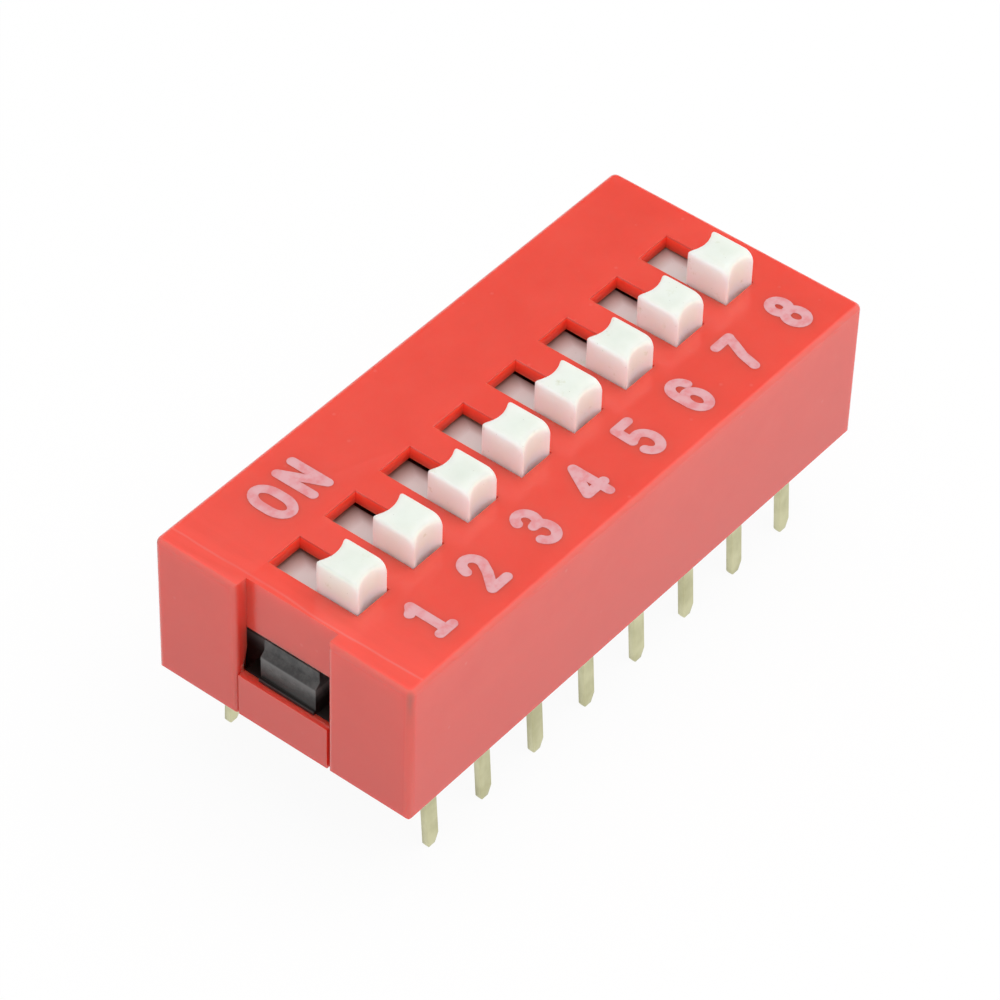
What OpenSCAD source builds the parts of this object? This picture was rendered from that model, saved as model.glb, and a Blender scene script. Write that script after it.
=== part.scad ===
// Slide switch in a dual-in-line package, for soldering to a circuit board.
//
// A red open-bottomed cover snaps over a black base. Each white slider pokes
// its knob out through a slot in the cover and carries a sprung contact, which
// bridges two flat terminals in the base when the slider is pushed to ON.
//
// Origin: centre of the underside, on the circuit board's surface.
// +X runs along the row from switch 1, +Y from OFF to ON, +Z up. Millimetres.

/* [Switch row] */
// Number of switches side by side
positions = 8; // [2:1:10]
// Distance between neighbouring switches, and between neighbouring pins
pitch = 2.54; // [2.5:0.01:2.7]
// Distance between the two rows of pins, at the board
row_spacing = 7.62; // [7.3:0.02:7.7]
// How far a slider moves from OFF to ON
travel = 1.78; // [1.4:0.02:1.9]

/* [Cover] */
// Width across the two rows
body_w = 9.9; // [9.8:0.05:10.6]
// Height of the top face above the board
body_h = 5.4; // [5.2:0.1:6.4]
// Length beyond the outermost switches' pitch, at each end
end_margin = 0.89; // [0.85:0.01:1.2]
// Gap between the pins and the inside of the long walls
wall_gap = 0.165; // [0.1:0.005:0.25]
// Thickness of the end walls
end_wall = 0.9; // [0.8:0.02:0.9]
// Thickness of the top plate
plate_t = 0.52; // [0.4:0.02:0.6]
// Radius along the edges of the top face
edge_r = 0.2; // [0.05:0.01:0.24]
// Radius down the four upright corners
corner_r = 0.25; // [0.25:0.01:0.4]

/* [Slider slots] */
// Width of a slot, along the row
slot_w = 1.45; // [1.4:0.01:1.6]
// Space left between a knob at rest and the end of its slot
slot_end_gap = 0.03; // [0.01:0.01:0.1]

/* [End windows] */
// Width of the window in each end wall, and of the channel by switch 1
window_w = 3.56; // [2.6:0.02:4.5]
// Height of the windows' sills above the board
sill_h = 1.68; // [1.3:0.02:1.8]
// Height of the windows
window_h = 1.67; // [1.65:0.01:1.9]
// Depth of the channel above switch 1's window, which marks that end
channel_depth = 0.53; // [0.2:0.01:0.56]
// Thickness of the springy strap below each window
strap_t = 0.35; // [0.2:0.01:0.4]
// How far the strap's face lies behind the end wall's
strap_inset = 0.05; // [0.02:0.01:0.08]
// How far the wall is thinned from inside, to each side of the window
window_relief = 0.4; // [0.1:0.05:0.6]

/* [Base] */
// Height of the base's underside above the board
base_recess = 0.1; // [0:0.02:0.3]
// Thickness of the base's floor, up to the face of the terminal pads
floor_h = 1.6; // [1.3:0.05:1.8]
// Height of the low rails along both long sides
rail_h = 2.45; // [1.9:0.05:3.2]
// Width of the low rails
rail_w = 0.65; // [0.4:0.05:0.8]
// Thickness of the walls between neighbouring switches
divider_t = 0.6; // [0.4:0.02:0.7]
// Gap between the base and the cover around it
base_fit = 0.04; // [0.02:0.01:0.08]

/* [Snap hooks] */
// Width of each hook
hook_w = 2.15; // [1.4:0.05:2.6]
// How far a hook's lip reaches over the strap
hook_catch = 0.13; // [0.05:0.01:0.2]
// Height of the lip
lip_h = 0.15; // [0.1:0.01:0.3]
// How far the hook's face stands back from its lip
lip_step = 0.1; // [0.02:0.01:0.15]
// Height of the face's top edge above the sill
ridge_h = 1; // [0.8:0.01:1.1]
// Height of the hook's flat crest above the sill
crest_h = 1.62; // [1.3:0.01:1.64]
// Depth of the sloping lead-in from the face's top edge to the crest
lead_in = 0.14; // [0.1:0.01:0.3]
// Gap between a hook's underside and the strap
hook_gap = 0.03; // [0.02:0.01:0.06]

/* [Sliders] */
// Length of a knob, along its travel
knob_l = 1.62; // [1.4:0.02:1.7]
// Gap between a knob and each side of its slot
knob_side_gap = 0.06; // [0.04:0.01:0.1]
// How far a knob stands above the cover
knob_rise = 1.14; // [0.4:0.02:1.4]
// Radius over a knob's top edge at the OFF end
off_round = 0.38; // [0.15:0.01:0.5]
// Radius over a knob's top edge at the ON end
on_round = 0.12; // [0.05:0.01:0.4]
// Radius of the finger scoops in a knob's ends
scoop_r = 1; // [0.6:0.02:1.4]
// Depth of the finger scoops
scoop_depth = 0.2; // [0.1:0.01:0.25]
// Width of the flange under the cover
flange_w = 2.2; // [2.1:0.02:2.3]
// Thickness of the flange
flange_t = 0.5; // [0.4:0.02:0.6]
// How far the flange laps past a slot's end when the slider is furthest from it
flange_lap = 0.25; // [0.1:0.05:0.3]
// Gap between the flange and the cover's top plate
flange_gap = 0.2; // [0.05:0.01:0.25]
// Gap between the flange and the dividers that it slides on
ride_gap = 0.05; // [0.03:0.01:0.1]
// Gap between a slider's body and the divider on each side
cell_gap = 0.12; // [0.08:0.01:0.2]
// Height of a slider body's underside above the terminal pads
body_clearance = 0.3; // [0.2:0.02:0.4]
// Thickness of the slider body at the ends of its contact pocket
pocket_wall = 0.3; // [0.2:0.02:0.4]

/* [Bridge contacts] */
// Thickness of the spring strip
strip_t = 0.12; // [0.08:0.01:0.15]
// Width of the spring strip
strip_w = 0.9; // [0.6:0.05:1]
// Distance of each foot from the middle of the slider
foot_y = 1.05; // [0.95:0.05:1.2]
// Radius of the strip's upper bends, at mid-thickness
shoulder_r = 0.25; // [0.15:0.01:0.3]
// Radius of the rounded feet, at mid-thickness
foot_r = 0.22; // [0.15:0.01:0.25]
// Angle by which each leg spreads
leg_spread = 12; // [6:1:14]
// Angle by which each foot's toe turns up past level
toe_angle = 55; // [30:5:70]
// Depth of the contact's seat in the slider, below the flange
seat_depth = 0.45; // [0.3:0.05:0.8]
// Gap between a foot and the terminal pad under it
foot_gap = 0.03; // [0.02:0.01:0.06]
// Gap between the strip and the walls of its pocket
pocket_gap = 0.06; // [0.03:0.01:0.1]

/* [Terminals] */
// Thickness of the terminal sheet
sheet_t = 0.25; // [0.2:0.01:0.3]
// Width of a pin
pin_w = 0.5; // [0.4:0.02:0.6]
// Length of a pin below the board's surface
pin_l = 3.4; // [2.8:0.1:4]
// Angle by which the OFF side's pins lean outward
off_lean = 4; // [0:0.5:8]
// Angle by which the ON side's pins lean outward
on_lean = 1.5; // [0:0.5:8]
// Height of the slanting cut across a pin's tip
tip_l = 0.36; // [0.2:0.02:0.8]
// Width of the tip's end, as a share of the pin's
tip_share = 0.46; // [0.3:0.02:0.7]
// Size of the small chamfers on the tip's other edges
tip_chamfer = 0.06; // [0.02:0.01:0.1]
// Width of a terminal's flat pad
pad_w = 1.2; // [1:0.05:1.4]
// Insulating gap between the two pads of a switch
pad_split = 0.4; // [0.3:0.05:0.6]
// Inner radius of the bend from pad to pin
bend_r = 0.12; // [0.05:0.01:0.2]
// Gap around a terminal in the base's moulding
insert_fit = 0.02; // [0.01:0.01:0.04]

/* [Hidden] */

COVER_RED = "#ee4035";
BASE_BLACK = "#26262a";
SLIDER_WHITE = "#f1f3ec";
CONTACT_GOLD = "#d9b45a";
TERMINAL_BRASS = "#cfc894";

round_fn = 48;
bend_steps = 6;
cut = 0.5;

// Cover
body_l = positions * pitch + 2 * end_margin;
cavity_l = body_l - 2 * end_wall;
cavity_w = row_spacing + sheet_t + 2 * wall_gap;
cavity_top = body_h - plate_t;
slot_l = knob_l + travel + 2 * slot_end_gap;
window_top = sill_h + window_h;
channel_x = body_l / 2 - channel_depth;
strap_x = body_l / 2 - strap_t;

// Base
base_l = cavity_l - 2 * base_fit;
base_w = cavity_w - 2 * base_fit;
tongue_x = strap_x - base_fit;
lip_x = strap_x + hook_catch;
cell_w = pitch - divider_t;

// Sliders
rest_y = -travel / 2;
flange_top = cavity_top - flange_gap;
flange_bottom = flange_top - flange_t;
divider_top = flange_bottom - ride_gap;
flange_l = slot_l + travel + 2 * flange_lap;
knob_w = slot_w - 2 * knob_side_gap;
knob_top = body_h + knob_rise;
slider_body_w = cell_w - 2 * cell_gap;
slider_bottom = floor_h + body_clearance;
contact_seat = flange_bottom - seat_depth;

// Bridge contacts
shoulder_z = contact_seat - strip_t / 2 - shoulder_r;
foot_z = floor_h + foot_gap + strip_t / 2 + foot_r;
leg_l = (shoulder_z - foot_z + (shoulder_r + foot_r) * sin(leg_spread)) / cos(leg_spread);
shoulder_y = foot_y - (shoulder_r + foot_r) * cos(leg_spread) - leg_l * sin(leg_spread);
pocket_top_l = 2 * (shoulder_y + shoulder_r + strip_t + pocket_gap);
pocket_mouth_l = 2 * (foot_y + foot_r + strip_t + pocket_gap);
slider_body_l = pocket_mouth_l + 2 * pocket_wall;
dividers_l = travel + slider_body_l + 2 * cell_gap;

// Terminals
pin_y = row_spacing / 2;
pad_z = floor_h - sheet_t;

// Middle of switch i along the row
function switch_x(i) = (i - (positions + 1) / 2) * pitch;

// Points along an arc, both ends included
function arc(centre, r, from, to) =
    [for (k = [0:bend_steps])
        let (a = from + (to - from) * k / bend_steps)
        centre + r * [cos(a), sin(a)]];

// A section drawn in Y and Z, drawn out evenly to both sides along X
module along_x(length) {
    rotate([90, 0, 90]) linear_extrude(length, center = true) children();
}

// A section drawn in X and Z, drawn out evenly to both sides along Y
module along_y(length) {
    rotate([90, 0, 0]) linear_extrude(length, center = true) children();
}

// A box given by its lowest corner and its highest corner
module span(low, high) {
    translate(low) cube(high - low);
}

// Upright section of the cover, with rounded top corners
module cover_section(width) {
    translate([-width / 2, 0]) square([width, body_h - edge_r]);
    translate([edge_r - width / 2, 0]) square([width - 2 * edge_r, body_h]);
    for (side = [-1, 1])
        translate([side * (width / 2 - edge_r), body_h - edge_r]) circle(edge_r, $fn = round_fn);
}

module cover_block() {
    along_x(body_l - 2 * corner_r) cover_section(body_w);
    along_y(body_w - 2 * corner_r) cover_section(body_l);
    for (x = [-1, 1], y = [-1, 1])
        translate([x * (body_l / 2 - corner_r), y * (body_w / 2 - corner_r), 0])
            rotate_extrude($fn = round_fn)
                intersection() {
                    cover_section(2 * corner_r);
                    square([corner_r, body_h]);
                }
}

module cavity() {
    span([-cavity_l / 2, -cavity_w / 2, -cut], [cavity_l / 2, cavity_w / 2, cavity_top]);
}

module slider_slot(i) {
    translate([switch_x(i), 0, 0])
        span([-slot_w / 2, -slot_l / 2, cavity_top - cut],
             [slot_w / 2, slot_l / 2, body_h + cut]);
}

// Window in the +X end wall, with the wall thinned beside it, and thinned to a
// strap below its sill
module end_window() {
    relief_y = window_w / 2 + window_relief;
    relief_z = (sill_h + window_top) / 2;
    span([cavity_l / 2 - cut, -window_w / 2, sill_h],
         [body_l / 2 + cut, window_w / 2, window_top]);
    along_y(2 * relief_y)
        polygon([
            [cavity_l / 2 - cut, sill_h], [strap_x, sill_h], [channel_x, relief_z],
            [channel_x, window_top], [cavity_l / 2 - cut, window_top]
        ]);
    span([cavity_l / 2 - cut, -relief_y, -cut], [strap_x, relief_y, sill_h + cut / 2]);
    span([body_l / 2 - strap_inset, -window_w / 2, -cut],
         [body_l / 2 + cut, window_w / 2, sill_h + cut / 2]);
}

// Channel that runs down the +X end wall, from the top face into the window
module end_channel() {
    span([channel_x, -window_w / 2, window_top - cut],
         [body_l / 2 + cut, window_w / 2, body_h + cut]);
}

module cover() {
    color(COVER_RED)
    difference() {
        cover_block();
        cavity();
        for (i = [1:positions]) slider_slot(i);
        end_window();
        mirror([1, 0, 0]) {
            end_window();
            end_channel();
        }
    }
}

// Tongue behind the strap at the +X end, with the snap hook above it
module snap_end() {
    root_x = base_l / 2 - divider_t / 4;
    tongue_w = window_w - 2 * base_fit;
    lip_z = sill_h + hook_gap;
    face_x = lip_x - lip_step;
    crest_z = sill_h + crest_h;
    span([root_x, -tongue_w / 2, base_recess], [tongue_x, tongue_w / 2, sill_h]);
    along_y(hook_w)
        polygon([
            [root_x, sill_h - hook_gap], [tongue_x, sill_h - hook_gap], [tongue_x, lip_z],
            [lip_x, lip_z], [lip_x, lip_z + lip_h], [face_x, lip_z + lip_h],
            [face_x, sill_h + ridge_h], [face_x - lead_in, crest_z], [root_x, crest_z]
        ]);
}

module end_dividers() {
    inner_x = switch_x(positions) + cell_w / 2;
    for (side = [0, 1])
        mirror([side, 0, 0])
            span([inner_x, -dividers_l / 2, base_recess], [base_l / 2, dividers_l / 2, divider_top]);
}

module base_body() {
    span([-base_l / 2, -base_w / 2, base_recess], [base_l / 2, base_w / 2, floor_h]);
    for (side = [0, 1])
        mirror([0, side, 0])
            span([-base_l / 2, base_w / 2 - rail_w, base_recess], [base_l / 2, base_w / 2, rail_h]);
    for (i = [1:positions - 1])
        translate([switch_x(i) + pitch / 2, 0, 0])
            span([-divider_t / 2, -dividers_l / 2, base_recess],
                 [divider_t / 2, dividers_l / 2, divider_top]);
    end_dividers();
    snap_end();
    mirror([1, 0, 0]) snap_end();
}

// Room for a terminal: a bed for its pad, and a groove for its leg that is
// open to the side of the base
module terminal_seat(pad_start) {
    leg_in = pin_y - sheet_t / 2 - bend_r - insert_fit;
    span([-pad_w / 2 - insert_fit, pad_start - insert_fit, pad_z],
         [pad_w / 2 + insert_fit, leg_in + insert_fit, floor_h + insert_fit]);
    span([-pin_w / 2 - insert_fit, leg_in, pad_z],
         [pin_w / 2 + insert_fit, base_w / 2 + cut, floor_h + insert_fit]);
    span([-pin_w / 2 - insert_fit, pin_y - sheet_t / 2 - insert_fit, -cut],
         [pin_w / 2 + insert_fit, base_w / 2 + cut, floor_h]);
    // The bend's inner radius leaves the corner of the moulding cut back
    span([-pin_w / 2 - insert_fit, leg_in, pad_z - bend_r],
         [pin_w / 2 + insert_fit, pin_y, pad_z + insert_fit]);
}

module base() {
    color(BASE_BLACK)
    difference() {
        base_body();
        for (i = [1:positions])
            translate([switch_x(i), 0, 0]) {
                terminal_seat(foot_y + pad_split / 2);
                mirror([0, 1, 0]) terminal_seat(pad_split / 2 - foot_y);
            }
    }
}

// Side view of a knob, more rounded at its OFF end than at its ON end
module knob_section() {
    foot = flange_top - flange_t / 2;
    translate([-knob_l / 2, foot]) square([knob_l / 2, knob_top - off_round - foot]);
    translate([off_round - knob_l / 2, foot])
        square([knob_l - off_round - on_round, knob_top - foot]);
    translate([0, foot]) square([knob_l / 2, knob_top - on_round - foot]);
    translate([off_round - knob_l / 2, knob_top - off_round]) circle(off_round, $fn = round_fn);
    translate([knob_l / 2 - on_round, knob_top - on_round]) circle(on_round, $fn = round_fn);
}

// Knob with a finger scoop in each end
module knob() {
    difference() {
        along_x(knob_w) knob_section();
        for (side = [-1, 1])
            translate([0, side * (knob_l / 2 - scoop_depth + scoop_r), flange_top])
                cylinder(h = knob_top - flange_top + cut, r = scoop_r, $fn = round_fn);
    }
}

module slider(i) {
    color(SLIDER_WHITE)
    translate([switch_x(i), rest_y, 0]) {
        knob();
        span([-flange_w / 2, -flange_l / 2, flange_bottom], [flange_w / 2, flange_l / 2, flange_top]);
        difference() {
            span([-slider_body_w / 2, -slider_body_l / 2, slider_bottom],
                 [slider_body_w / 2, slider_body_l / 2, flange_bottom + flange_t / 2]);
            along_x(strip_w + 2 * pocket_gap)
                polygon([
                    [-pocket_top_l / 2, contact_seat], [pocket_top_l / 2, contact_seat],
                    [pocket_mouth_l / 2, slider_bottom], [pocket_mouth_l / 2, slider_bottom - cut],
                    [-pocket_mouth_l / 2, slider_bottom - cut], [-pocket_mouth_l / 2, slider_bottom]
                ]);
        }
    }
}

// Sprung strip: a flat back against the slider, two spread legs and rounded feet
module bridge_contact(i) {
    shoulder = [shoulder_y, shoulder_z];
    foot = [foot_y, foot_z];
    toe = 270 + toe_angle;
    half = concat(
        arc(shoulder, shoulder_r + strip_t / 2, 90, leg_spread),
        arc(foot, foot_r - strip_t / 2, 180 + leg_spread, toe),
        arc(foot, foot_r + strip_t / 2, toe, 180 + leg_spread),
        arc(shoulder, shoulder_r - strip_t / 2, leg_spread, 90)
    );
    mirrored = [for (k = [len(half) - 1:-1:0]) [-half[k].x, half[k].y]];
    color(CONTACT_GOLD)
    translate([switch_x(i), rest_y, 0])
        along_x(strip_w) polygon(concat(half, mirrored));
}

// Side view of a terminal: pad end, bend, leg and leaning pin
module terminal_section(lean) {
    leg_in = pin_y - sheet_t / 2;
    leg_out = pin_y + sheet_t / 2;
    bend = [leg_in - bend_r, pad_z - bend_r];
    tip_y = pin_y + pin_l * tan(lean);
    taper_y = pin_y + (pin_l - tip_chamfer) * tan(lean);
    tip_t = sheet_t - 2 * tip_chamfer;
    polygon(concat(
        [[bend.x - bend_r, pad_z], [bend.x, pad_z]],
        arc(bend, bend_r, 90, 0),
        [
            [leg_in, 0], [taper_y - sheet_t / 2, tip_chamfer - pin_l],
            [tip_y - tip_t / 2, -pin_l], [tip_y + tip_t / 2, -pin_l],
            [taper_y + sheet_t / 2, tip_chamfer - pin_l], [leg_out, 0]
        ],
        arc(bend, bend_r + sheet_t, 0, 90),
        [[bend.x - bend_r, floor_h]]
    ));
}

// Front view of a pin, whose tip is cut off on a slant towards +X
module pin_front() {
    tip_x = tip_chamfer - pin_w / 2;
    polygon([
        [-pin_w / 2, floor_h + cut], [-pin_w / 2, 2 * tip_chamfer - pin_l], [tip_x, -pin_l],
        [tip_x + tip_share * pin_w, -pin_l], [pin_w / 2, tip_l - pin_l], [pin_w / 2, floor_h + cut]
    ]);
}

// Terminal whose pad starts at pad_start and whose pin stands in the +Y row
module terminal(pad_start, lean) {
    pad_end = pin_y - sheet_t / 2 - bend_r - insert_fit;
    span([-pad_w / 2, pad_start, pad_z], [pad_w / 2, pad_end, floor_h]);
    intersection() {
        along_x(pin_w) terminal_section(lean);
        along_y(2 * body_w) pin_front();
    }
}

module on_terminal(i) {
    color(TERMINAL_BRASS)
    translate([switch_x(i), 0, 0]) terminal(foot_y + pad_split / 2, on_lean);
}

// The OFF side's pad is the long one: both feet stand on it when the switch is off
module off_terminal(i) {
    color(TERMINAL_BRASS)
    translate([switch_x(i), 0, 0]) mirror([0, 1, 0]) terminal(pad_split / 2 - foot_y, off_lean);
}

cover();
base();
for (i = [1:positions]) {
    slider(i);
    bridge_contact(i);
    on_terminal(i);
    off_terminal(i);
}
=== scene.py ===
"""An eight-way slide switch in a red dual-in-line package, standing on its pins."""

import math

import bmesh
import bpy
from mathutils import Matrix, Vector


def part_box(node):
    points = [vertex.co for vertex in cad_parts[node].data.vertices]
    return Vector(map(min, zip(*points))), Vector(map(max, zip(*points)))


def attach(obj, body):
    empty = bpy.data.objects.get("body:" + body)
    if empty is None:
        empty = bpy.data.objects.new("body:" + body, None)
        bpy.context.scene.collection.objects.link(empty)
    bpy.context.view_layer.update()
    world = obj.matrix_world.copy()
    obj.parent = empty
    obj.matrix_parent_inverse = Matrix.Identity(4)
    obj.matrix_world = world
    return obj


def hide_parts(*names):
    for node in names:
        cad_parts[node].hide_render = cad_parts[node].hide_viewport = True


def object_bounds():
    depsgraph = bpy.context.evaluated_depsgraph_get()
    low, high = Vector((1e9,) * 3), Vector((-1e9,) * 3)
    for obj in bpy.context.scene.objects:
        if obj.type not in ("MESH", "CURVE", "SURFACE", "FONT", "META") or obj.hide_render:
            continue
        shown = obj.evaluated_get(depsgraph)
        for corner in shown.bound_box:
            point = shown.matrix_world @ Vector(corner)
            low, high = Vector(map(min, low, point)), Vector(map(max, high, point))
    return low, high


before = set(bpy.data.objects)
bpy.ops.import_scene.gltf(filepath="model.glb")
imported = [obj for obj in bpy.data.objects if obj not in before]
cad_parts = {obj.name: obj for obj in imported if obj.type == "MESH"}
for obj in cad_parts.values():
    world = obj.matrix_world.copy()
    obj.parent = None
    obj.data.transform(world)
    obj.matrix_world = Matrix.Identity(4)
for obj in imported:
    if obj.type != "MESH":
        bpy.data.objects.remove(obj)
cad_low, cad_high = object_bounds()

# ---------------------------------------------------------------------------
# Terminals: sixteen strips of copper alloy, cut out by a progressive die, plated
# a pale gold and pressed into the base. The cut leaves the pins' edges slightly
# rounded and finely scored from top to bottom.
# ---------------------------------------------------------------------------
MM = 0.001
SWITCHES = range(1, 9)
PIN_EDGE = 0.06 * MM
SHARPER_THAN = math.radians(30)
WELD = 0.001 * MM
PLATING_PALE = (0.651, 0.634, 0.405, 1)
PLATING_DULL = (0.51, 0.493, 0.29, 1)
SCORES_STRETCH = (1, 1, 0.12)
SCORES_DEPTH = 0.004 * MM


def new_object(name, data):
    """An object that holds data, put into the scene."""
    item = bpy.data.objects.new(name, data)
    bpy.context.scene.collection.objects.link(item)
    return item


def welded_copy(node, name, lift=0.0):
    """A copy of a CAD node's mesh with its corners joined up, raised by lift."""
    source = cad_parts[node].data
    mesh = bpy.data.meshes.new(name)
    mesh.from_pydata(
        [v.co.copy() for v in source.vertices], [], [tuple(p.vertices) for p in source.polygons]
    )
    shape = bmesh.new()
    shape.from_mesh(mesh)
    bmesh.ops.remove_doubles(shape, verts=shape.verts, dist=WELD)
    bmesh.ops.recalc_face_normals(shape, faces=shape.faces)
    bmesh.ops.translate(shape, verts=shape.verts, vec=(0, 0, lift))
    for face in shape.faces:
        face.smooth = True
    shape.to_mesh(mesh)
    shape.free()
    return new_object(name, mesh)


def soften_edges(piece, radius, steps):
    """Rounds every sharp edge of a piece and keeps its flat faces flat."""
    bevel = piece.modifiers.new("rounded edges", "BEVEL")
    bevel.width = radius
    bevel.segments = steps
    bevel.limit_method = "ANGLE"
    bevel.angle_limit = SHARPER_THAN
    bevel.miter_outer = "MITER_ARC"
    flat = piece.modifiers.new("flat faces", "WEIGHTED_NORMAL")
    flat.keep_sharp = True


class Nodes:
    """The nodes of a material or of the world. What goes into a node is given by the
    socket's name or number, as a plain value or as the output of another node."""

    def __init__(self, owner):
        owner.use_nodes = True
        self.tree = owner.node_tree

    def fill(self, node, inputs):
        """Sets or connects a node's inputs."""
        for key, value in inputs.items():
            if isinstance(value, bpy.types.NodeSocket):
                self.tree.links.new(value, node.inputs[key])
            else:
                node.inputs[key].default_value = value

    def add(self, kind, inputs=None, **settings):
        """A new node of a kind, with its settings and its inputs."""
        node = self.tree.nodes.new("ShaderNode" + kind)
        for name, value in settings.items():
            setattr(node, name, value)
        self.fill(node, inputs or {})
        return node

    def place(self, stretch=(1, 1, 1)):
        """Object coordinates in millimetres, squeezed along each axis by stretch."""
        place = self.add("TexCoord").outputs["Object"]
        scale = [s / MM for s in stretch]
        return self.add("Mapping", {"Vector": place, "Scale": scale}).outputs["Vector"]

    def axes(self, vector):
        """The X, Y and Z of a vector, each by its letter."""
        return self.add("SeparateXYZ", {"Vector": vector}).outputs

    def facing(self):
        """Which way the surface faces, as the X, Y and Z of its normal."""
        return self.axes(self.add("NewGeometry").outputs["Normal"])

    def noise(self, place, scale, detail=4, roughness=0.55):
        """A cloudy pattern, finer as scale grows."""
        return self.add("TexNoise", {
            "Vector": place, "Scale": scale, "Detail": detail, "Roughness": roughness,
        }).outputs["Fac"]

    def ramp(self, reading, *stops):
        """A ramp through stops, each a reading and the RGBA colour or shade of grey there."""
        node = self.add("ValToRGB", {"Fac": reading})
        elements = node.color_ramp.elements
        while len(elements) < len(stops):
            elements.new(0.5)
        for element, (position, colour) in zip(elements, stops):
            element.position = position
            element.color = colour if isinstance(colour, tuple) else (colour, colour, colour, 1)
        return node.outputs["Color"]

    def rise(self, reading, start, end, height=1.0):
        """0 until reading comes to start, then evenly up to height at end."""
        return self.add("MapRange", {
            "Value": reading, "From Min": start, "From Max": end, "To Max": height,
        }).outputs["Result"]

    def maths(self, operation, *values):
        """One step of arithmetic, such as MULTIPLY, on the values in turn."""
        return self.add("Math", dict(enumerate(values)), operation=operation).outputs["Value"]

    def mix(self, share, first, second, kind="RGBA"):
        """first where share is 0, second where it is 1, and both in between."""
        inputs = {"Factor": share, "A": first, "B": second}
        return self.add("Mix", inputs, data_type=kind).outputs["Result"]

    def bump(self, height, depth, strength):
        """The bumpy normal of a surface whose relief is depth metres from low to high."""
        return self.add("Bump", {
            "Height": height, "Distance": depth, "Strength": strength,
        }).outputs["Normal"]


def new_material(name):
    """An empty material, its nodes and its surface shader."""
    material = bpy.data.materials.new(name)
    nodes = Nodes(material)
    return material, nodes, nodes.tree.nodes["Principled BSDF"]


plating, nodes, shader = new_material("pale_gold_plating")
scores = nodes.noise(nodes.place(SCORES_STRETCH), scale=9, detail=3)
tarnish = nodes.noise(nodes.place(), scale=0.8, detail=5)
nodes.fill(shader, {
    "Metallic": 1.0,
    "Base Color": nodes.ramp(tarnish, (0.35, PLATING_DULL), (0.6, PLATING_PALE)),
    "Roughness": nodes.ramp(scores, (0.3, 0.3), (0.7, 0.46)),
    "Normal": nodes.bump(scores, SCORES_DEPTH, strength=0.6),
})

for side in ("on", "off"):
    for i in SWITCHES:
        pin = welded_copy(f"{side}_terminal_{i}", f"{side}_terminal_{i}_plated")
        soften_edges(pin, PIN_EDGE, steps=2)
        pin.data.materials.append(plating)
        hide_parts(f"{side}_terminal_{i}")
        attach(pin, "housing")

# ---------------------------------------------------------------------------
# Base: one moulding in black glass-filled nylon. It holds the terminals and
# keeps the switches apart. A snap hook at each end catches over the strap
# below the cover's window, its nose sloping back above the ridge.
# ---------------------------------------------------------------------------
BASE_EDGE = 0.07 * MM
HOOK_FACE = 10.73 * MM
HOOK_SPAN = 2.6 * MM
NOSE_TOP = 2.7 * MM
NOSE_DEPTH = 0.18 * MM
NOSE_RISE = 0.16 * MM
NYLON_BLACK = (0.024, 0.023, 0.023, 1)
NYLON_SCUFFED = (0.09, 0.087, 0.084, 1)
NYLON_RIDGE_HIGHLIGHT = (0.14, 0.138, 0.135, 1)
NYLON_SHADED = (0.008, 0.006, 0.005, 1)
BASE_GRAIN = 0.006 * MM
# The hook's face has painted shade, darkest at its foot, and a painted highlight along
# its ridge. Both lie between these heights in millimetres.
HOOK_HEIGHTS = 2.0, 2.8
ALONG_X, ALONG_Y, ALONG_Z = range(3)

black_nylon, nodes, shader = new_material("black_nylon")
all_over = nodes.place()
scuffs = nodes.noise(all_over, scale=2.2, detail=6, roughness=0.65)
grain = nodes.noise(all_over, scale=14, detail=3)
up_hook = nodes.rise(nodes.axes(all_over)["Z"], *HOOK_HEIGHTS)
body = nodes.ramp(scuffs, (0.42, NYLON_BLACK), (0.72, NYLON_SCUFFED))
# Painted shade at the hook's foot and a painted highlight along its ridge
body = nodes.mix(nodes.ramp(up_hook, (0.15, 1), (0.5, 0)), body, NYLON_SHADED)
body = nodes.mix(nodes.ramp(up_hook, (0.45, 0), (0.82, 0.8), (0.9, 0)), body, NYLON_RIDGE_HIGHLIGHT)
nodes.fill(shader, {
    "Base Color": body,
    "Roughness": nodes.ramp(grain, (0.3, 0.34), (0.7, 0.5)),
    "Normal": nodes.bump(grain, BASE_GRAIN, strength=0.7),
})


def finished_mesh(piece):
    """A new mesh of a piece, with its modifiers applied."""
    graph = bpy.context.evaluated_depsgraph_get()
    return bpy.data.meshes.new_from_object(piece.evaluated_get(graph))


def cut_away(piece, axis, span, outline):
    """Takes a prism off a piece: outline drawn in the other two axes, span along axis."""
    a, b = ((1, 2), (0, 2), (0, 1))[axis]
    shape = bmesh.new()
    rings = []
    for place in span:
        ring = []
        for u, v in outline:
            point = [0, 0, 0]
            point[axis], point[a], point[b] = place, u, v
            ring.append(shape.verts.new(point))
        rings.append(ring)
        shape.faces.new(ring)
    for k in range(len(outline)):
        j = (k + 1) % len(outline)
        shape.faces.new([rings[0][k], rings[0][j], rings[1][j], rings[1][k]])
    bmesh.ops.recalc_face_normals(shape, faces=shape.faces)
    bmesh.ops.triangulate(shape, faces=[f for f in shape.faces if len(f.verts) > 4])
    mesh = bpy.data.meshes.new("cutter")
    shape.to_mesh(mesh)
    shape.free()
    cutter = new_object("cutter", mesh)
    cut = piece.modifiers.new("cut", "BOOLEAN")
    cut.operation = "DIFFERENCE"
    cut.solver = "EXACT"
    cut.object = cutter
    piece.data = finished_mesh(piece)
    piece.modifiers.clear()
    bpy.data.objects.remove(cutter)
    bpy.data.meshes.remove(mesh)


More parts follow.
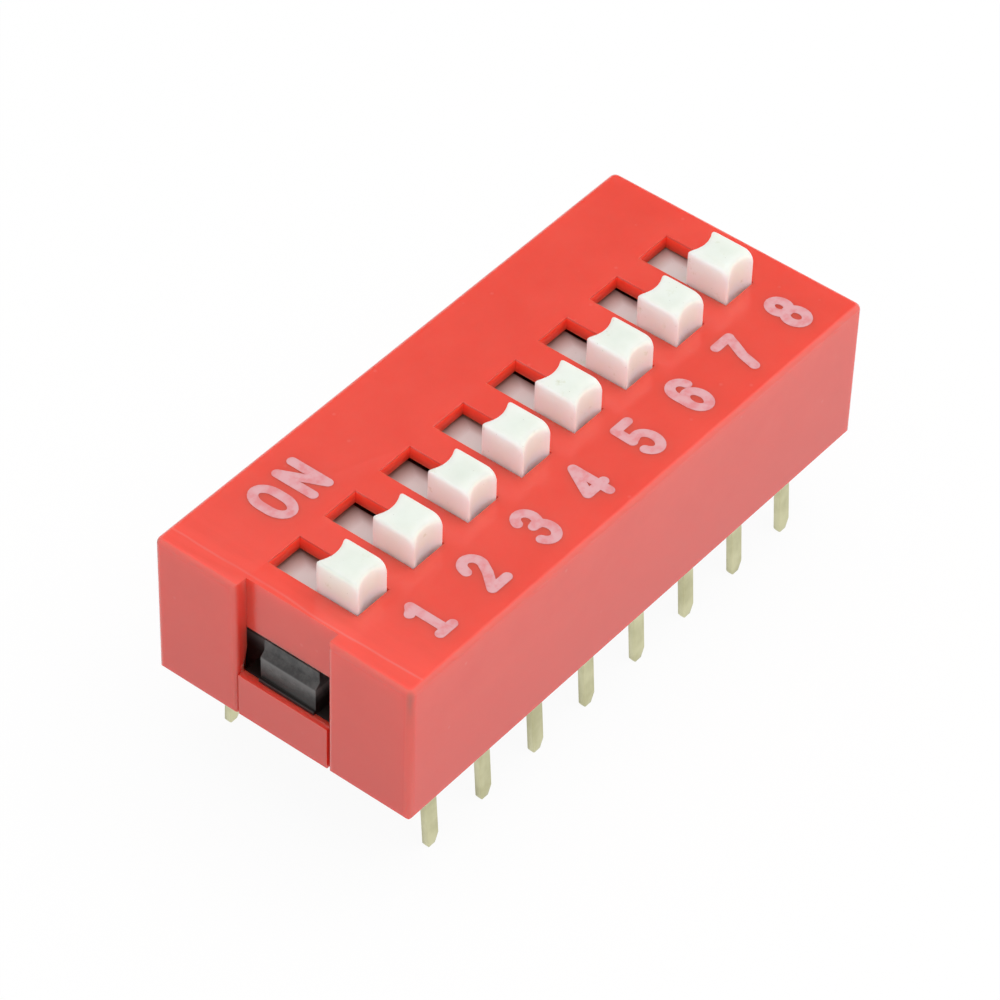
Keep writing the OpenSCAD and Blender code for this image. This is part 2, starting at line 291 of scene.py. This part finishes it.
base = welded_copy("base", "base_moulding")
for end in (1, -1):
    back, front = end * (HOOK_FACE - NOSE_DEPTH), end * (HOOK_FACE + NOSE_DEPTH)
    cut_away(base, ALONG_Y, (-HOOK_SPAN / 2, HOOK_SPAN / 2), [
        (back, NOSE_TOP + NOSE_RISE), (back, NOSE_TOP + MM),
        (front, NOSE_TOP + MM), (front, NOSE_TOP - NOSE_RISE),
    ])
soften_edges(base, BASE_EDGE, steps=3)
base.data.materials.append(black_nylon)
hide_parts("base")
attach(base, "housing")

# ---------------------------------------------------------------------------
# Bridge contacts: gold-plated spring strips, one clipped under each slider.
# They show only when the housing is opened, so the CAD strips stay and get
# their finish.
# ---------------------------------------------------------------------------
GOLD_BRIGHT = (0.9, 0.66, 0.28, 1)
GOLD_WORN = (0.74, 0.52, 0.22, 1)
ROLLING_STRETCH = (1, 0.15, 1)
ROLLING_DEPTH = 0.002 * MM

contact_gold, nodes, shader = new_material("contact_gold")
rolling = nodes.noise(nodes.place(ROLLING_STRETCH), scale=8, detail=3)
nodes.fill(shader, {
    "Metallic": 1.0,
    "Base Color": nodes.ramp(rolling, (0.35, GOLD_WORN), (0.65, GOLD_BRIGHT)),
    "Roughness": nodes.ramp(rolling, (0.3, 0.22), (0.7, 0.34)),
    "Normal": nodes.bump(rolling, ROLLING_DEPTH, strength=0.5),
})

for i in SWITCHES:
    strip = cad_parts[f"bridge_contact_{i}"]
    strip.data.materials.clear()
    strip.data.materials.append(contact_gold)

# ---------------------------------------------------------------------------
# Sliders: white acetal mouldings, a little translucent, held down by the cover
# with a little play, so that some sit higher. Their knobs' edges are soft, as if
# worn. Their upright sides and feet are painted paler, as painted light, and their
# flanges are painted darker below the cover's top, as painted shade, and darker red
# along two sides, as painted shade with red light from the slot's walls.
# ---------------------------------------------------------------------------
PITCH = 2.54 * MM
# For each switch, in millimetres: how high its slider sits in the play, and how far
# its flange is cut back on the side away from switch 1
LIFTS = (0.05, 0, 0, 0.08, 0.03, 0.05, 0.06, 0.16)
FLANGE_TRIMS = (0, 0.33, 0.33, 0, 0.34, 0.34, 0.34, 0)
FLANGE_EDGE = 0.05 * MM
FLANGE_UNDER = 3.6 * MM
FLANGE_TOP = 4.68 * MM
COVER_UNDER = 4.95 * MM
KNOB_ROOT = 0.3 * MM
KNOB_PARTING = 0.01 * MM
FLANGE_PARTING = 0.002 * MM
# The spacing of a knob's grid in millimetres, the rounds of smoothing, and how much
# the knob is swelled along each axis beforehand, because smoothing shrinks it
KNOB_GRID = 0.04
KNOB_SMOOTHINGS = 45
KNOB_SWELL = 1.035, 1.03, 1.005
ACETAL_WHITE = (0.731, 0.774, 0.722, 1)
ACETAL_SHADED = (0.687, 0.731, 0.67, 1)
ACETAL_UPRIGHT_LIT = (0.865, 0.995, 0.845, 1)
ACETAL_FEET_AND_SIDES_LIT = (0.9, 1.0, 0.95, 1)
ACETAL_UNDER_COVER_SHADE = (0.62, 0.58, 0.57, 1)
ACETAL_RED_SHADE = (0.3, 0.16, 0.13, 1)
STAIN = (0.52, 0.54, 0.36, 1)
DIRT = (0.16, 0.16, 0.11, 1)
ACETAL_GRAIN = 0.006 * MM
ACETAL_SCATTER = (1, 0.96, 0.9)
ACETAL_SCATTER_DEPTH = 0.6 * MM
PALER_SHARE = 0.9
# Places between which the acetal changes, in millimetres: up from the board, along
# the row, across one switch and towards ON
PALER_FEET = 5.8, 5.42
PALER_SIDES = -9.6, -5.5
FLANGE_SHADE_HEIGHTS = 4.85, 5.0
RED_ACROSS = 1.65, 2.15
RED_TOWARDS_ON = 1.15, 1.85


def scatter_flecks(nodes, place, scale, strength, radius):
    """Small round flecks: strength at the middle of each, fading to 0 at radius."""
    cells = nodes.add("TexVoronoi", {"Vector": place, "Scale": scale})
    return nodes.ramp(cells.outputs["Distance"], (0, strength), (radius, 0))


white_acetal, nodes, shader = new_material("white_acetal")
all_over = nodes.place()
here = nodes.axes(all_over)
facing = nodes.facing()
clouding = nodes.noise(all_over, scale=0.9)
body = nodes.ramp(clouding, (0.35, ACETAL_SHADED), (0.65, ACETAL_WHITE))
# Painted light: the upright sides of the knobs are paler than their tops
body = nodes.mix(nodes.ramp(facing["Z"], (0.2, 1), (0.8, 0)), body, ACETAL_UPRIGHT_LIT)

# Painted light: paler at the knobs' feet and, past the first knob, on the sides that face
# switch 1. This makes up for the red light that the cover throws on them.
feet = nodes.rise(here["Z"], *PALER_FEET, PALER_SHARE)
sides = nodes.rise(facing["X"], -0.3, -0.95, PALER_SHARE)
sides = nodes.maths("MULTIPLY", nodes.rise(here["X"], *PALER_SIDES), sides)
body = nodes.mix(nodes.maths("MAXIMUM", feet, sides), body, ACETAL_FEET_AND_SIDES_LIT)

# Painted shade: below the cover's top the flanges are darker, and darker red along two sides of
# the slot, with painted red light from its walls
across = nodes.maths("WRAP", here["X"], PITCH / MM, 0)
red_shade = nodes.maths(
    "MAXIMUM", nodes.rise(across, *RED_ACROSS), nodes.rise(here["Y"], *RED_TOWARDS_ON)
)
flange = nodes.mix(red_shade, ACETAL_UNDER_COVER_SHADE, ACETAL_RED_SHADE)
body = nodes.mix(nodes.rise(here["Z"], *FLANGE_SHADE_HEIGHTS), flange, body)

stains = nodes.noise(all_over, scale=1.5, detail=5, roughness=0.65)
body = nodes.mix(nodes.ramp(stains, (0.62, 0), (0.72, 0.5)), body, STAIN)
flecks = scatter_flecks(nodes, all_over, scale=3.4, strength=0.55, radius=0.075)
grain = nodes.noise(all_over, scale=7)
nodes.fill(shader, {
    "Base Color": nodes.mix(flecks, body, DIRT),
    "Roughness": nodes.ramp(grain, (0.3, 0.36), (0.7, 0.48)),
    "Normal": nodes.bump(grain, ACETAL_GRAIN, strength=0.6),
    "Subsurface Weight": 1.0,
    "Subsurface Radius": ACETAL_SCATTER,
    "Subsurface Scale": ACETAL_SCATTER_DEPTH,
})


def box_corners(mesh):
    """The lowest and the highest corner of the box round a mesh."""
    return [
        Vector([pick(v.co[k] for v in mesh.vertices) for k in range(3)]) for pick in (min, max)
    ]


def wear_knob(slider, foot):
    """Rounds every edge of a slider's knob, which stands on its flange at height foot.
    The knob is laid over a fine even grid and smoothed, then set into the flange."""
    low, high = box_corners(slider.data)
    front, back = low.y - MM, high.y + MM
    knob = new_object("knob", slider.data.copy())
    for piece, edge, end in (
        (knob, foot + KNOB_PARTING, low.z - MM),
        (slider, foot - FLANGE_PARTING, high.z + MM),
    ):
        cut_away(piece, ALONG_X, (low.x - MM, high.x + MM), [
            (front, edge), (back, edge), (back, end), (front, end),
        ])
    for vertex in knob.data.vertices:
        if vertex.co.z < foot + 2 * KNOB_PARTING:
            vertex.co.z = foot - KNOB_ROOT
    middle = Matrix.Translation([(a + b) / 2 for a, b in zip(*box_corners(knob.data))])
    knob.data.transform(middle @ Matrix.Diagonal((*KNOB_SWELL, 1)) @ middle.inverted())
    knob.data.transform(Matrix.Scale(1 / MM, 4))
    even = knob.modifiers.new("even grid", "REMESH")
    even.mode = "VOXEL"
    even.voxel_size = KNOB_GRID
    even.use_smooth_shade = True
    worn = knob.modifiers.new("worn", "SMOOTH")
    worn.iterations = KNOB_SMOOTHINGS
    mesh = finished_mesh(knob)
    mesh.transform(Matrix.Scale(MM, 4))
    shape = bmesh.new()
    shape.from_mesh(slider.data)
    shape.from_mesh(mesh)
    shape.to_mesh(slider.data)
    shape.free()
    bpy.data.objects.remove(knob)
    bpy.data.meshes.remove(mesh)


for i, lift, trim in zip(SWITCHES, LIFTS, FLANGE_TRIMS):
    slider = welded_copy(f"slider_{i}", f"slider_{i}_moulding", lift * MM)
    if trim:
        low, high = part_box(f"slider_{i}")
        beside = high.x - trim * MM
        cut_away(slider, ALONG_Y, (low.y - MM, high.y + MM), [
            (beside, FLANGE_UNDER), (high.x + MM, FLANGE_UNDER),
            (high.x + MM, COVER_UNDER), (beside, COVER_UNDER),
        ])
    wear_knob(slider, FLANGE_TOP + lift * MM)
    soften_edges(slider, FLANGE_EDGE, steps=2)
    slider.data.materials.append(white_acetal)
    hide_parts(f"slider_{i}")
    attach(slider, f"switch_{i}")

# ---------------------------------------------------------------------------
# Cover: one moulding in bright red nylon, snapped down over everything and
# faintly mottled where the melt cooled. Its rounded edges carry a painted pale
# sheen, its walls painted shade towards the bottom and its slots a painted glow.
# Handling has left specks and a thin scratch on the top face, and grime at the
# corners.
# ---------------------------------------------------------------------------
COVER_EDGE = 0.08 * MM
CHANNEL_WIDTH = 3.56 * MM
CHANNEL_ROUND = 0.2 * MM
FOOT_ROUND = 0.12 * MM
ROUND_STEPS = 6
OVERCUT = 0.05 * MM
COVER_HEIGHT = 5.4
NYLON_RED = (0.766, 0.078, 0.052, 1)
NYLON_RED_DEEP = (0.739, 0.068, 0.044, 1)
NYLON_RED_SHADED_LOW = (0.67, 0.062, 0.042, 1)
NYLON_RED_CHALKY = (0.783, 0.174, 0.148, 1)
NYLON_RED_EDGE_SHEEN = (0.69, 0.115, 0.09, 1)
NYLON_RED_POLISHED = (0.82, 0.084, 0.058, 1)
NYLON_RED_GLOW = (0.98, 0.055, 0.02, 1)
CORNER_GRIME = (0.3, 0.13, 0.1, 1)
SHELTERED_ROUGHNESS = 0.6
NYLON_IOR = 1.62
NYLON_GRAIN = 0.003 * MM
NYLON_SCATTER = (1, 0.12, 0.08)
NYLON_SCATTER_DEPTH = 0.7 * MM
# Places between which the red changes, in millimetres from the middle of the row
# and up from the board
POLISHED_END = -8.4, -10.2
SCRATCH_BAND = -10.5, -9.9
SCRATCH_DRIFT = 0.35
ALONG_END_STRETCH = (1, 0.12, 1)
ONLY_Y = (0, 1, 0)
GRIMY_FROM = (("X", 10.84, 10.98), ("Y", 4.74, 4.88), ("Z", 3.8, 5.2))
SHELTERED_WITHIN = (("X", 10.4), ("Y", 2.6), ("Z", 5.32))

red_nylon, nodes, shader = new_material("red_nylon")
all_over = nodes.place()
here = nodes.axes(all_over)
facing = nodes.facing()
mottle = nodes.noise(all_over, scale=0.45, detail=6, roughness=0.6)
body = nodes.ramp(mottle, (0.35, NYLON_RED_DEEP), (0.65, NYLON_RED))
specks = scatter_flecks(nodes, all_over, scale=1.1, strength=0.45, radius=0.09)
body = nodes.mix(specks, body, NYLON_RED_CHALKY)
# Painted shade: the red grows darker towards the bottom
body = nodes.mix(nodes.rise(here["Z"], 0, COVER_HEIGHT), NYLON_RED_SHADED_LOW, body)

# Painted sheen on the rounded edges, where the surface faces neither up nor straight to one side
slanting = nodes.ramp(facing["Z"], (0.05, 0), (0.25, 1), (0.88, 1), (0.98, 0))
turned = nodes.maths("ABSOLUTE", nodes.maths("MULTIPLY", facing["X"], facing["Y"]))
turning = nodes.ramp(turned, (0.05, 0), (0.25, 0.7))
body = nodes.mix(nodes.maths("MAXIMUM", slanting, turning), body, NYLON_RED_EDGE_SHEEN)

# A polished band and a wandering scratch across the top face, beside switch 1
level = nodes.ramp(facing["Z"], (0.95, 0), (0.99, 1))
streaks = nodes.noise(nodes.place(ALONG_END_STRETCH), scale=2.2, detail=3)
patchy = nodes.ramp(streaks, (0.35, 0.3), (0.6, 1))
drift = nodes.noise(nodes.place(ONLY_Y), scale=0.25, detail=2)
drifting = nodes.maths("MULTIPLY_ADD", drift, SCRATCH_DRIFT, here["X"])
across_band = nodes.rise(drifting, *SCRATCH_BAND)
polish = nodes.rise(here["X"], *POLISHED_END)
scratch = nodes.ramp(across_band, (0.4, 0), (0.5, 0.8), (0.6, 0))
for mark, colour in ((polish, NYLON_RED_POLISHED), (scratch, NYLON_RED_CHALKY)):
    on_top = nodes.maths("MULTIPLY", mark, level)
    body = nodes.mix(nodes.maths("MULTIPLY", on_top, patchy), body, colour)

dirt = nodes.noise(all_over, scale=0.8, detail=4, roughness=0.6)
grime = nodes.ramp(dirt, (0.38, 0.3), (0.6, 0.8))
for axis, start, end in GRIMY_FROM:
    away = nodes.maths("ABSOLUTE", here[axis])
    grime = nodes.maths("MULTIPLY", grime, nodes.rise(away, start, end))
body = nodes.mix(grime, body, CORNER_GRIME)

# Inside the slots the red is brighter and more matt: a painted glow, as thin plastic
# glows when light gets into it
sheltered = 1
for axis, reach in SHELTERED_WITHIN:
    away = nodes.maths("ABSOLUTE", here[axis])
    sheltered = nodes.maths("MULTIPLY", sheltered, nodes.maths("LESS_THAN", away, reach))
grain = nodes.noise(all_over, scale=9, detail=5, roughness=0.6)
open_roughness = nodes.ramp(grain, (0.3, 0.19), (0.7, 0.25))
nodes.fill(shader, {
    "Base Color": nodes.mix(sheltered, body, NYLON_RED_GLOW),
    "Roughness": nodes.mix(sheltered, open_roughness, SHELTERED_ROUGHNESS, "FLOAT"),
    "Normal": nodes.bump(grain, NYLON_GRAIN, strength=0.4),
    "IOR": NYLON_IOR,
    "Subsurface Weight": 0.8,
    "Subsurface Radius": NYLON_SCATTER,
    "Subsurface Scale": NYLON_SCATTER_DEPTH,
})


def round_off(piece, corner, inward, radius, axis, span):
    """Rounds one straight edge, which runs along axis over span. Its corner is given
    in the other two axes, and inward points from it into the piece."""
    turns = [math.radians(270 - 90 * k / ROUND_STEPS) for k in range(ROUND_STEPS + 1)]
    arc = [(radius * (1 + math.cos(t)), radius * (1 + math.sin(t))) for t in turns]
    outline = [(-OVERCUT, -OVERCUT), (radius, -OVERCUT), *arc, (-OVERCUT, radius)]
    cut_away(piece, axis, span, [
        (corner[0] + inward[0] * u, corner[1] + inward[1] * v) for u, v in outline
    ])


cover = welded_copy("cover", "cover_moulding")
low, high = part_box("cover")
whole_x, whole_y, whole_z = [(a - MM, b + MM) for a, b in zip(low, high)]
for way, end, flank in ((1, low.x, low.y), (-1, high.x, high.y)):
    round_off(cover, (end, low.z), (way, 1), FOOT_ROUND, ALONG_Y, whole_y)
    round_off(cover, (flank, low.z), (way, 1), FOOT_ROUND, ALONG_X, whole_x)
for side in (1, -1):
    jamb = side * CHANNEL_WIDTH / 2
    round_off(cover, (low.x, jamb), (1, side), CHANNEL_ROUND, ALONG_Z, whole_z)
soften_edges(cover, COVER_EDGE, steps=3)
cover.data.materials.append(red_nylon)
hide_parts("cover")
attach(cover, "housing")

# ---------------------------------------------------------------------------
# Print: white ink put on the cover's top face with a soft pad, in one pass.
# The film is so thin that the red shows through it. Each character is made of
# strokes of one width with round ends.
# ---------------------------------------------------------------------------
STROKE = 0.34 * MM
FILM = 0.012 * MM
FILM_BITE = 0.004 * MM
LAYER_STEP = 0.0006 * MM
STROKE_WELD = 0.0005 * MM
CLOSED_WITHIN = 1e-6
MITRE_LIMIT = 0.5
ROUND_END = [math.radians(turn) for turn in range(-90, 91, 15)]
INK_THICK = (0.65, 0.335, 0.36, 1)
INK_THIN = (0.64, 0.22, 0.235, 1)
INK_ROUGHNESS = 0.6
INK_RELIEF = 0.005 * MM
# Each character and the place of its middle, in millimetres
PRINTED = (
    ("1", -8.38, -3.38), ("2", -5.86, -3.38), ("3", -3.35, -3.38), ("4", -0.85, -3.38),
    ("5", 1.7, -3.38), ("6", 4.21, -3.38), ("7", 6.77, -3.38), ("8", 9.27, -3.38),
    ("O", -7.61, 3.27), ("N", -6.26, 3.25),
)


def bend(x, y, rx, ry, start, end, steps=14):
    """Points along an arc of an ellipse, from start to end in degrees."""
    turns = [math.radians(start + (end - start) * k / steps) for k in range(steps + 1)]
    return [(x + rx * math.cos(t), y + ry * math.sin(t)) for t in turns]


# Centre lines of the strokes of each character, in millimetres from its middle
STROKES = {
    "O": [
        bend(0, 0.17, 0.36, 0.54, 0, 180)
        + bend(0, -0.17, 0.36, 0.54, 180, 360)
        + [(0.36, 0.17)],
    ],
    "N": [
        [(-0.35, -0.7), (-0.35, 0.72)],
        [(-0.34, 0.7), (0.33, -0.68)],
        [(0.34, -0.7), (0.34, 0.72)],
    ],
    "1": [
        [(0.05, -0.63), (0.06, 0.74)],
        [(-0.2, 0.54), (-0.06, 0.62), (0.06, 0.74)],
        [(-0.22, -0.64), (0.33, -0.64)],
    ],
    "2": [
        [(-0.31, 0.38)]
        + bend(0.01, 0.38, 0.31, 0.36, 170, -20, 18)
        + [(0.1, -0.1), (-0.33, -0.62)],
        [(-0.34, -0.64), (0.33, -0.64)],
    ],
    "3": [
        bend(0, 0.38, 0.3, 0.36, 160, -70),
        bend(0, -0.3, 0.33, 0.4, 80, -160, 18),
        [(-0.05, 0.07), (0.1, 0.06)],
    ],
    "4": [
        [(0.15, -0.68), (0.16, 0.72)],
        [(0.14, 0.7), (-0.4, -0.26)],
        [(-0.42, -0.3), (0.35, -0.3)],
    ],
    "5": [
        [(0.31, 0.76), (-0.27, 0.76)],
        [(-0.27, 0.76), (-0.3, 0.08)],
        [(-0.28, 0.1)] + bend(0.0, -0.26, 0.33, 0.44, 115, -160, 20),
    ],
    "6": [
        bend(-0.04, -0.26, 0.31, 0.42, 0, 360, 24),
        [(-0.36, -0.26), (-0.36, 0.28)] + bend(-0.03, 0.32, 0.33, 0.4, 175, 10),
    ],
    "7": [
        [(-0.38, 0.7), (0.28, 0.7)],
        [(0.27, 0.7), (0.14, 0.38), (-0.09, -0.12), (-0.22, -0.68)],
    ],
    "8": [
        bend(-0.07, 0.35, 0.27, 0.33, 0, 360, 24),
        bend(-0.08, -0.32, 0.31, 0.37, 0, 360, 24),
    ],
}

pad_ink, nodes, shader = new_material("white_pad_ink")
coverage = nodes.noise(nodes.place(), scale=2.6, detail=5, roughness=0.6)
nodes.fill(shader, {
    "Base Color": nodes.ramp(coverage, (0.38, INK_THIN), (0.56, INK_THICK)),
    "Roughness": INK_ROUGHNESS,
    "Normal": nodes.bump(coverage, INK_RELIEF, strength=0.5),
})


def ink_stroke(shape, points, centre, top):
    """One stroke as a flat strip of faces at height top, with round ends."""
    closed = (Vector(points[0]) - Vector(points[-1])).length < CLOSED_WITHIN
    line = [Vector(p) * MM + centre for p in (points[:-1] if closed else points)]
    count = len(line)
    half = STROKE / 2
    pairs = []
    for k, point in enumerate(line):
        ways = []
        if closed or k > 0:
            ways.append((point - line[k - 1]).normalized())
        if closed or k < count - 1:
            ways.append((line[(k + 1) % count] - point).normalized())
        along = (ways[0] + ways[-1]).normalized()
        side = Vector((-along.y, along.x)) * half / max(MITRE_LIMIT, along.dot(ways[-1]))
        pairs.append((point + side, point - side))
    outlines = [
        [pairs[k][0], pairs[(k + 1) % count][0], pairs[(k + 1) % count][1], pairs[k][1]]
        for k in range(count if closed else count - 1)
    ]
    if not closed:
        for k, nearer in ((0, 1), (count - 1, count - 2)):
            away = (line[k] - line[nearer]).normalized()
            turn = math.atan2(away.y, away.x)
            outlines.append([
                line[k] + half * Vector((math.cos(turn + a), math.sin(turn + a)))
                for a in ROUND_END
            ])
    for outline in outlines:
        shape.faces.new([shape.verts.new((p.x, p.y, top)) for p in outline])
    bmesh.ops.remove_doubles(shape, verts=shape.verts, dist=STROKE_WELD)


def print_character(character, x, y, surface):
    """A character's film of ink, set a little into the plastic under it. Each stroke
    is a hair thicker than the one before, so that they never share a face."""
    shape = bmesh.new()
    for layer, points in enumerate(STROKES[character]):
        film = FILM + layer * LAYER_STEP
        bar = bmesh.new()
        ink_stroke(bar, points, Vector((x, y)), surface + film)
        grown = bmesh.ops.extrude_face_region(bar, geom=bar.faces[:])
        low = [v for v in grown["geom"] if isinstance(v, bmesh.types.BMVert)]
        bmesh.ops.translate(bar, verts=low, vec=(0, 0, -film - FILM_BITE))
        bmesh.ops.recalc_face_normals(bar, faces=bar.faces)
        part = bpy.data.meshes.new("stroke")
        bar.to_mesh(part)
        bar.free()
        shape.from_mesh(part)
        bpy.data.meshes.remove(part)
    mesh = bpy.data.meshes.new(f"print_{character}")
    shape.to_mesh(mesh)
    shape.free()
    mesh.materials.append(pad_ink)
    printed = new_object(f"print_{character}", mesh)
    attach(printed, "housing")


cover_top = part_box("cover")[1].z
for character, x, y in PRINTED:
    print_character(character, x * MM, y * MM, cover_top)

# ---------------------------------------------------------------------------
# Setting: the part stands on a white sweep under broad soft light, with a grey
# card hung behind it that keeps the top face's colour deep. The floor is drawn
# nearly white and keeps a faint shadow of the part.
# ---------------------------------------------------------------------------
FLOOR_SIZE = 600 * MM
FLOOR_WHITE = (0.84, 0.84, 0.84, 1)
FLOOR_ROUGHNESS = 0.9
FLOOR_SPECULAR = 0.1
SHADOW_SHARE = 0.06
SKY_WHITE = (1, 1, 1, 1)
SKY_STRENGTH = 0.7
LAMP_SIZE = 300 * MM
LAMP_PLACE = Vector((40, -70, 250)) * MM
LAMP_POWER = 0.52
CARD_TOWARDS = (0.718, 0.467, 0.514)
CARD_GREY = 0.12
# How nearly a ray points at the card where its soft rim begins and where it ends
CARD_RIM = 0.925, 0.975


def seen_directly(nodes):
    """1 for what the camera or a reflection sees, and 0 for the light that falls."""
    path = nodes.add("LightPath").outputs
    return nodes.maths("MAXIMUM", path["Is Camera Ray"], path["Is Glossy Ray"])


half = FLOOR_SIZE / 2
floor_mesh = bpy.data.meshes.new("floor")
floor_mesh.from_pydata(
    [(x, y, cad_low.z) for x, y in ((-half, -half), (half, -half), (half, half), (-half, half))],
    [],
    [(0, 1, 2, 3)],
)
floor = new_object("floor", floor_mesh)

white_sweep, nodes, shader = new_material("white_sweep")
nodes.fill(shader, {
    "Base Color": FLOOR_WHITE,
    "Roughness": FLOOR_ROUGHNESS,
    "Specular IOR Level": FLOOR_SPECULAR,
})
blend = nodes.add("MixShader", {
    "Fac": nodes.maths("MULTIPLY", seen_directly(nodes), 1 - SHADOW_SHARE),
    1: shader.outputs["BSDF"],
    2: nodes.add("Emission").outputs["Emission"],
})
nodes.fill(nodes.tree.nodes["Material Output"], {"Surface": blend.outputs["Shader"]})
floor_mesh.materials.append(white_sweep)

world = bpy.data.worlds.new("studio")
bpy.context.scene.world = world
nodes = Nodes(world)
sky = nodes.tree.nodes["Background"]
nodes.fill(sky, {"Color": SKY_WHITE, "Strength": SKY_STRENGTH})
bearing = nodes.add("TexCoord").outputs["Generated"]
nearness = nodes.add("VectorMath", {0: bearing, 1: CARD_TOWARDS}, operation="DOT_PRODUCT")
card = nodes.ramp(nearness.outputs["Value"], (CARD_RIM[0], 1), (CARD_RIM[1], CARD_GREY))
blend = nodes.add("MixShader", {
    "Fac": seen_directly(nodes),
    1: sky.outputs["Background"],
    2: nodes.add("Background", {"Color": card}).outputs["Background"],
})
nodes.fill(nodes.tree.nodes["World Output"], {"Surface": blend.outputs["Shader"]})

lamp = bpy.data.lights.new("softbox", "AREA")
lamp.size = LAMP_SIZE
lamp.energy = LAMP_POWER
softbox = new_object("softbox", lamp)
softbox.location = LAMP_PLACE
softbox.rotation_euler = (-LAMP_PLACE).to_track_quat("-Z", "Y").to_euler()
softbox.visible_glossy = False

# Camera: a long lens looking down on the corner nearest switch 1
VIEW_AZIMUTH = math.radians(-52.322)
VIEW_ELEVATION = math.radians(44.206)
VIEW_ROLL = math.radians(1.919)
VIEW_DISTANCE = 147.85 * MM
VIEW_OFFSET = (-0.434 * MM, 1.362 * MM)
VIEW_LENS = 170.78
VIEW_SENSOR = 36
VIEW_NEAR, VIEW_FAR = 0.01, 10

back = Vector((
    math.sin(VIEW_AZIMUTH) * math.cos(VIEW_ELEVATION),
    -math.cos(VIEW_AZIMUTH) * math.cos(VIEW_ELEVATION),
    math.sin(VIEW_ELEVATION),
))
level = Vector((0, 0, 1)).cross(back).normalized()
upright = back.cross(level)
right = math.cos(VIEW_ROLL) * level + math.sin(VIEW_ROLL) * upright
up = math.cos(VIEW_ROLL) * upright - math.sin(VIEW_ROLL) * level
place = back * VIEW_DISTANCE + right * VIEW_OFFSET[0] + up * VIEW_OFFSET[1]

lens = bpy.data.cameras.new("camera")
lens.sensor_width = VIEW_SENSOR
lens.lens = VIEW_LENS
lens.clip_start = VIEW_NEAR
lens.clip_end = VIEW_FAR
camera = new_object("camera", lens)
camera.matrix_world = Matrix.Translation(place) @ Matrix((right, up, back)).transposed().to_4x4()
bpy.context.scene.camera = camera
bpy.context.scene.view_settings.view_transform = "Standard"
